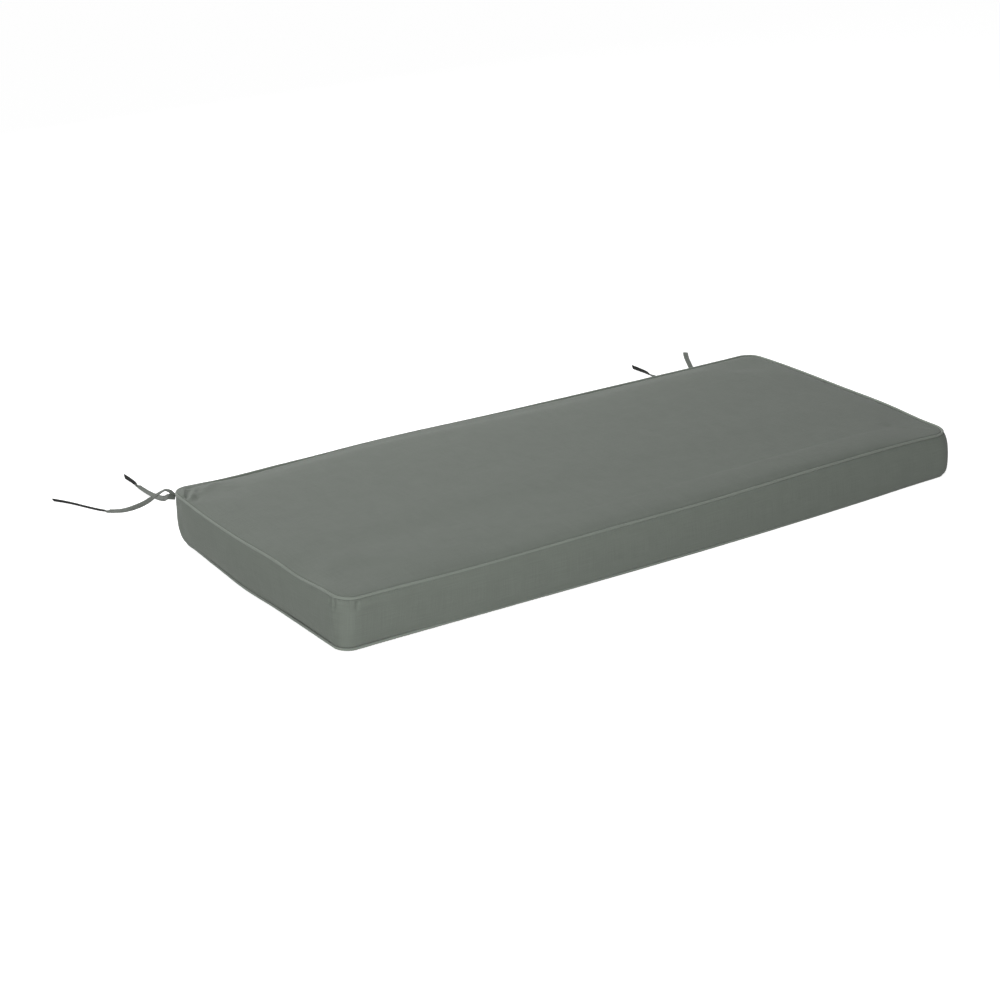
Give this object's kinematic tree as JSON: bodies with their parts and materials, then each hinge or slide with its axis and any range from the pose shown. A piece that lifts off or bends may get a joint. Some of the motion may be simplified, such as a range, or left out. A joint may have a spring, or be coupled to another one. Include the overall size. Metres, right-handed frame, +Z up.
{
  "type": "bench cushion",
  "caption": "Long boxed bench cushion with a softly crowned top, piped seams, rounded corners and fabric ties at the back corners.",
  "frame": {"origin": "centre of the plan outline, on the surface that the cushion lies on", "axes": "+X along the bench from left to right, +Y from the front edge to the tied back edge, +Z up"},
  "size_m": [1.3848, 0.7993, 0.092],
  "materials": {
    "cover": "matte sage grey canvas, fine plain weave",
    "welt": "matte sage grey canvas cut on the bias over a cord",
    "tie": "matte sage grey canvas strip with a near-black reverse"
  },
  "bodies": {
    "root": {"cushion_body": "cover", "welt_top": "welt", "welt_bottom": "welt", "tie_left_a": "tie", "tie_left_b": "tie", "tie_right_a": "tie", "tie_right_b": "tie"}
  },
  "joints": []
}
